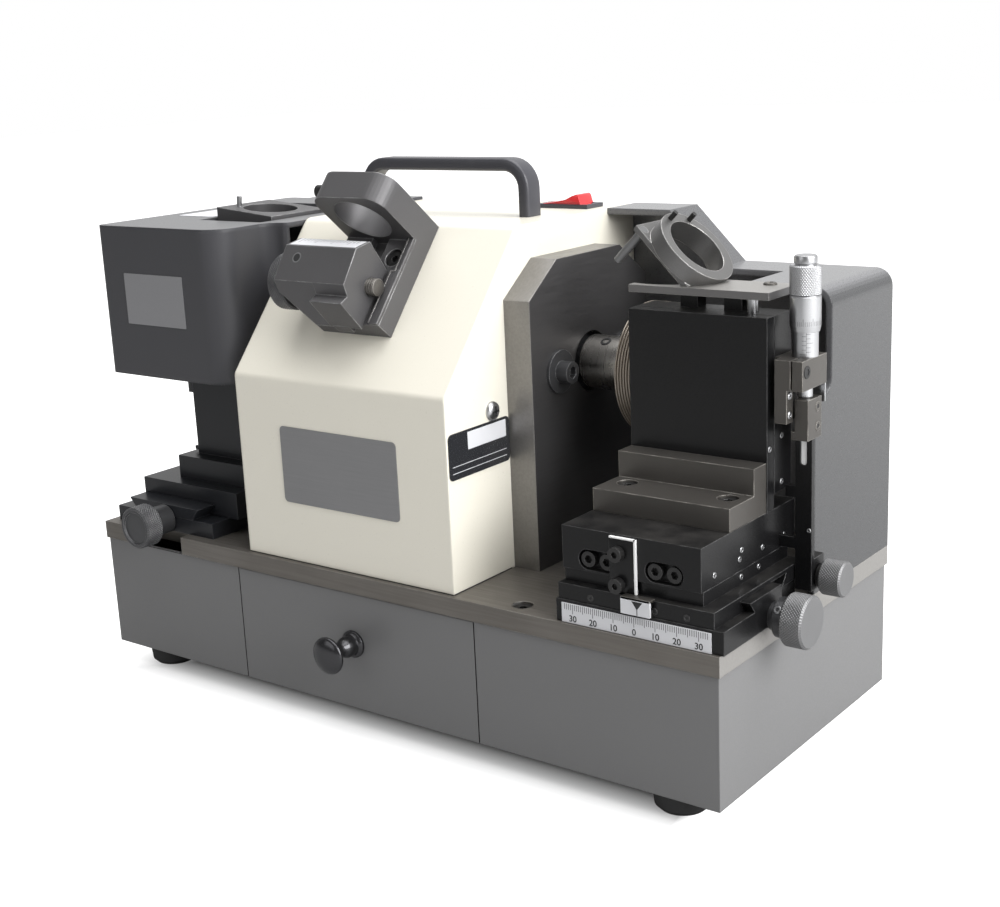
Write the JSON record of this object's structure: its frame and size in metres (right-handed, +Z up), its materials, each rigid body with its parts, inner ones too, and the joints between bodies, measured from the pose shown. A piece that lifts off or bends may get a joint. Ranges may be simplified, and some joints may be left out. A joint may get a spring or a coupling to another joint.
{
  "type": "tool and cutter grinder",
  "caption": "Bench grinder for end mills and drills with a motor under a sloped cover, two hooded wheel stations with cross slides, a micrometer lift and a setting gauge.",
  "frame": {"origin": "on the floor under the middle of the bounding box, with the rubber feet standing on z = 0", "axes": "+X to the right along the front, towards the micrometer station; +Y from the front to the back; +Z up"},
  "size_m": [0.3886, 0.1816, 0.261],
  "materials": {
    "white_paint": "gloss",
    "box_paint": "satin",
    "plate_steel": "ground",
    "rubber": "matte",
    "chrome": "satin chrome",
    "black_plastic": "satin",
    "red_plastic": "gloss",
    "motor_paint": "satin",
    "copper": "wound",
    "steel": "blackened",
    "dark_steel": "blackened",
    "abrasive": "grit",
    "black_steel": "black oxide",
    "hood_paint": "satin",
    "hood_plastic": "satin",
    "black_anodised": "black anodised",
    "knob_steel": "knurled",
    "scale": "matte"
  },
  "bodies": {
    "base": {"base_box": "box_paint", "base_plate": "plate_steel", "base_screws": "black_steel", "rubber_feet": "rubber", "drawer_runners": "plate_steel", "motor_cover": "white_paint", "cover_screws": "chrome", "carry_handle": "black_plastic", "switch_bezel": "black_plastic", "power_inlet": "black_plastic", "motor_housing": "motor_paint", "motor_stator": "copper", "motor_bearings": "steel", "right_end_plate": "dark_steel", "left_end_plate": "dark_steel", "motor_bolts": "knob_steel", "right_hood": "hood_paint", "left_hood": "hood_plastic", "gauge_bracket": "dark_steel", "left_base": "black_anodised", "x_base": "black_anodised", "scale_strip": "scale", "x_bearing": "steel"},
    "drawer": {"drawer_tray": "box_paint", "drawer_knob": "knob_steel"},
    "rocker": {"switch_rocker": "red_plastic"},
    "spindle": {"motor_rotor": "steel", "wheel_collars": "dark_steel", "right_wheel": "abrasive", "left_wheel": "abrasive", "wheel_screws": "black_steel"},
    "feed": {"x_knob": "knob_steel"},
    "saddle": {"x_saddle": "black_anodised", "y_guide": "black_anodised"},
    "cross_slide": {"y_block": "black_anodised", "stage_screws": "black_steel", "pointer_bracket": "steel", "angle_bracket": "steel", "upright_plate": "black_anodised", "anvil_block": "steel", "stop_bar": "black_anodised"},
    "lift": {"lift_carriage": "black_anodised", "plate_risers": "black_anodised", "top_plate": "steel", "ring_holder": "dark_steel", "ring_screws": "black_steel", "ring_pin": "knob_steel", "mic_holder": "black_anodised", "mic_sleeve": "chrome"},
    "thimble": {"mic_thimble": "chrome"},
    "lock": {"lock_knob": "knob_steel"},
    "gauge_slide": {"gauge_carriage": "dark_steel"},
    "gauge_clamp": {"gauge_knob": "knob_steel"},
    "left_slide": {"left_slide": "black_anodised", "left_column": "black_anodised", "port_plate": "dark_steel", "stop_pin": "chrome"},
    "left_feed": {"left_knob": "knob_steel"}
  },
  "joints": [
    {"name": "drawer_slide", "type": "slide", "parent": "base", "child": "drawer", "axis": [0, -1, 0], "range_m": [0, 0.105]},
    {"name": "rocker_turn", "type": "hinge", "parent": "base", "child": "rocker", "pos_m": [0.01905, 0.06325, 0.233], "axis": [0, 1, 0], "range_deg": [0, 14]},
    {"name": "spindle_turn", "type": "hinge", "parent": "base", "child": "spindle", "pos_m": [-0.0231, 0.02525, 0.1675], "axis": [1, 0, 0], "continuous": true},
    {"name": "x_feed_turn", "type": "hinge", "parent": "base", "child": "feed", "pos_m": [0.18875, -0.02775, 0.0811], "axis": [1, 0, 0], "range_deg": [-1090, 2530]},
    {"name": "x_slide", "type": "slide", "parent": "base", "child": "saddle", "axis": [1, 0, 0], "range_m": [-0.003, 0.007]},
    {"name": "y_slide", "type": "slide", "parent": "saddle", "child": "cross_slide", "axis": [0, 1, 0], "range_m": [-0.008, 0]},
    {"name": "thimble_turn", "type": "hinge", "parent": "cross_slide", "child": "thimble", "pos_m": [0.17595, 0.00175, 0.2075], "axis": [0, 0, 1], "range_deg": [-2890, 4330]},
    {"name": "z_slide", "type": "slide", "parent": "cross_slide", "child": "lift", "axis": [0, 0, 1], "range_m": [-0.004, 0.006]},
    {"name": "lock_turn", "type": "hinge", "parent": "cross_slide", "child": "lock", "pos_m": [0.18875, 0.00685, 0.0887], "axis": [1, 0, 0], "range_deg": [-180, 0]},
    {"name": "gauge_travel", "type": "slide", "parent": "base", "child": "gauge_slide", "axis": [0, 0.6441, 0.7649], "range_m": [-0.002, 0.01]},
    {"name": "gauge_clamp_turn", "type": "hinge", "parent": "gauge_slide", "child": "gauge_clamp", "pos_m": [-0.05725, -0.05297, 0.21002], "axis": [1, 0, 0], "range_deg": [-180, 180]},
    {"name": "left_feed_turn", "type": "hinge", "parent": "base", "child": "left_feed", "pos_m": [-0.15175, -0.08075, 0.0838], "axis": [0, 1, 0], "range_deg": [-2890, 2890]},
    {"name": "left_slide_travel", "type": "slide", "parent": "base", "child": "left_slide", "axis": [0, 1, 0], "range_m": [-0.008, 0.008]}
  ],
  "couplings": [
    {"joint": "x_feed_turn", "follows": "x_slide", "rad_per_m": 6283.2},
    {"joint": "thimble_turn", "follows": "z_slide", "rad_per_m": 12566},
    {"joint": "left_feed_turn", "follows": "left_slide_travel", "rad_per_m": 6283.2}
  ]
}
